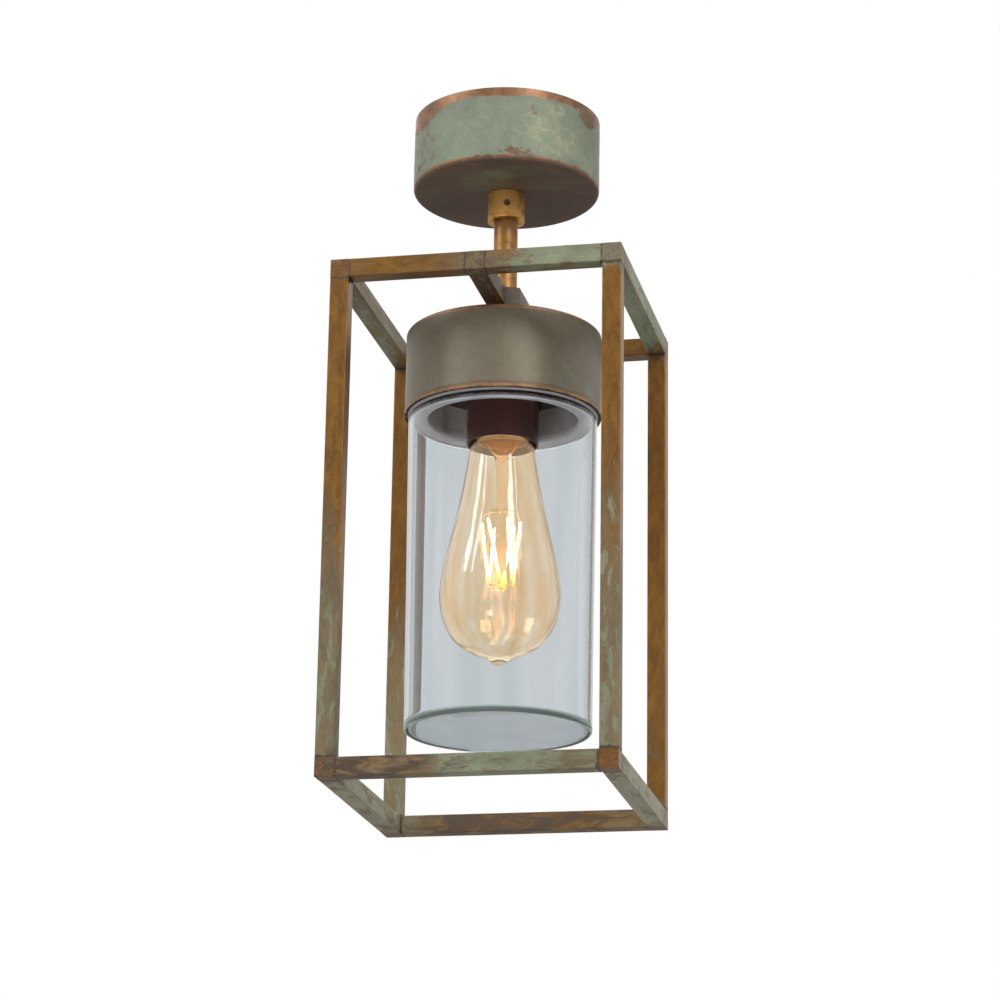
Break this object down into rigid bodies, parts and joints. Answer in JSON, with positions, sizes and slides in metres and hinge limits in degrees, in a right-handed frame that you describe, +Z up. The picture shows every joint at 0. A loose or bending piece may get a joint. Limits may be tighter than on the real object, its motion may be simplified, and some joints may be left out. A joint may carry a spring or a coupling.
{
  "type": "porch ceiling lantern",
  "caption": "Ceiling lantern: round canopy, short rigid stem, open cage of square bars, and a closed glass jar screwed into a round cup over a filament lamp.",
  "frame": {"origin": "on the ceiling plane, on the stem's axis, midway between the two ceiling screw slots", "axes": "+Z up into the ceiling; the lantern hangs towards -Z; X along the ceiling bracket, left to right across the cage's front; -Y towards the viewer in front"},
  "size_m": [0.155, 0.155, 0.382],
  "materials": {
    "aged_brass": "aged, brown and green patina",
    "verdigris_brass": "aged, grey-green verdigris over brown",
    "satin_brass": "satin, lightly aged",
    "plain_brass": "plain turned",
    "cap_brass": "bright rolled",
    "zinc_steel": "zinc plated",
    "black_steel": "black oxide",
    "support_steel": "drawn wire",
    "solder_tip": "soldered",
    "block_plastic": "moulded nylon",
    "wire_brown": "extruded PVC",
    "wire_blue": "extruded PVC",
    "wire_green": "extruded PVC",
    "pale_silicone": "moulded silicone rubber",
    "clear_glass": "pressed clear glass",
    "amber_glass": "blown amber glass",
    "mount_glass": "pressed glass",
    "brown_bakelite": "moulded, worn",
    "white_porcelain": "glazed",
    "black_ceramic": "vitrified insulator",
    "lit_filament": "phosphor coated, lit"
  },
  "bodies": {
    "lantern": {"bracket_earth_screw": "plain_brass", "ceiling_bracket": "zinc_steel", "corner_bottom_front_left": "aged_brass", "corner_bottom_front_right": "aged_brass", "corner_bottom_rear_left": "aged_brass", "corner_bottom_rear_right": "aged_brass", "corner_top_front_left": "aged_brass", "corner_top_front_right": "aged_brass", "corner_top_rear_left": "aged_brass", "corner_top_rear_right": "aged_brass", "crossbar_front": "aged_brass", "crossbar_rear": "aged_brass", "cup_lock_nut": "zinc_steel", "earth_wire": "wire_green", "fitter_cup": "verdigris_brass", "glass_gallery": "satin_brass", "hub_block": "aged_brass", "lampholder_body": "brown_bakelite", "lampholder_cap": "brown_bakelite", "lampholder_contact": "plain_brass", "lampholder_insulator": "white_porcelain", "lampholder_screw_shell": "plain_brass", "live_wire": "wire_brown", "lower_nipple": "plain_brass", "neutral_wire": "wire_blue", "post_front_left": "aged_brass", "post_front_right": "aged_brass", "post_rear_left": "aged_brass", "post_rear_right": "aged_brass", "rail_bottom_front": "aged_brass", "rail_bottom_left": "aged_brass", "rail_bottom_rear": "aged_brass", "rail_bottom_right": "aged_brass", "rail_top_front_left_half": "aged_brass", "rail_top_front_right_half": "aged_brass", "rail_top_left": "aged_brass", "rail_top_rear_left_half": "aged_brass", "rail_top_rear_right_half": "aged_brass", "rail_top_right": "aged_brass", "spacer_tube": "satin_brass", "stem_lock_nut": "zinc_steel", "stem_tube": "satin_brass", "stem_washers": "zinc_steel", "terminal_block": "block_plastic", "terminal_screws": "plain_brass", "upper_nipple": "plain_brass"},
    "collar": {"canopy_collar": "satin_brass"},
    "canopy_shell": {"canopy": "verdigris_brass"},
    "grub": {"collar_grub_screw": "black_steel"},
    "gasket": {"glass_gasket": "pale_silicone"},
    "jar": {"glass_jar": "clear_glass"},
    "lamp_carrier": {"bulb_base_insulator": "black_ceramic", "bulb_contact_tip": "solder_tip"},
    "lamp": {"bulb_glass": "amber_glass", "bulb_cap": "cap_brass", "bulb_mount": "mount_glass", "bulb_support_wires": "support_steel", "bulb_filaments": "lit_filament"}
  },
  "joints": [
    {"name": "canopy_drop", "type": "slide", "parent": "lantern", "child": "canopy_shell", "axis": [0, 0, -1], "range_m": [0, 0.046]},
    {"name": "collar_drop", "type": "slide", "parent": "lantern", "child": "collar", "axis": [0, 0, -1], "range_m": [0, 0.046]},
    {"name": "grub_screw_back", "type": "slide", "parent": "collar", "child": "grub", "axis": [0.2504, -0.9681, 0], "range_m": [0, 0.0014]},
    {"name": "jar_turn", "type": "hinge", "parent": "gasket", "child": "jar", "pos_m": [0, 0, -0.162], "axis": [0, 0, -1], "range_deg": [0, 1080]},
    {"name": "jar_drop", "type": "slide", "parent": "lantern", "child": "gasket", "axis": [0, 0, -1], "range_m": [0, 0.0121]},
    {"name": "lamp_turn", "type": "hinge", "parent": "lamp_carrier", "child": "lamp", "pos_m": [0, 0, -0.17], "axis": [0, 0, -1], "range_deg": [0, 1800]},
    {"name": "lamp_drop", "type": "slide", "parent": "lantern", "child": "lamp_carrier", "axis": [0, 0, -1], "range_m": [0, 0.0182]}
  ],
  "couplings": [
    {"joint": "collar_drop", "follows": "canopy_drop", "ratio": 1},
    {"joint": "jar_drop", "follows": "jar_turn", "m_per_rad": 0.00063662},
    {"joint": "lamp_drop", "follows": "lamp_turn", "m_per_rad": 0.00057757}
  ]
}
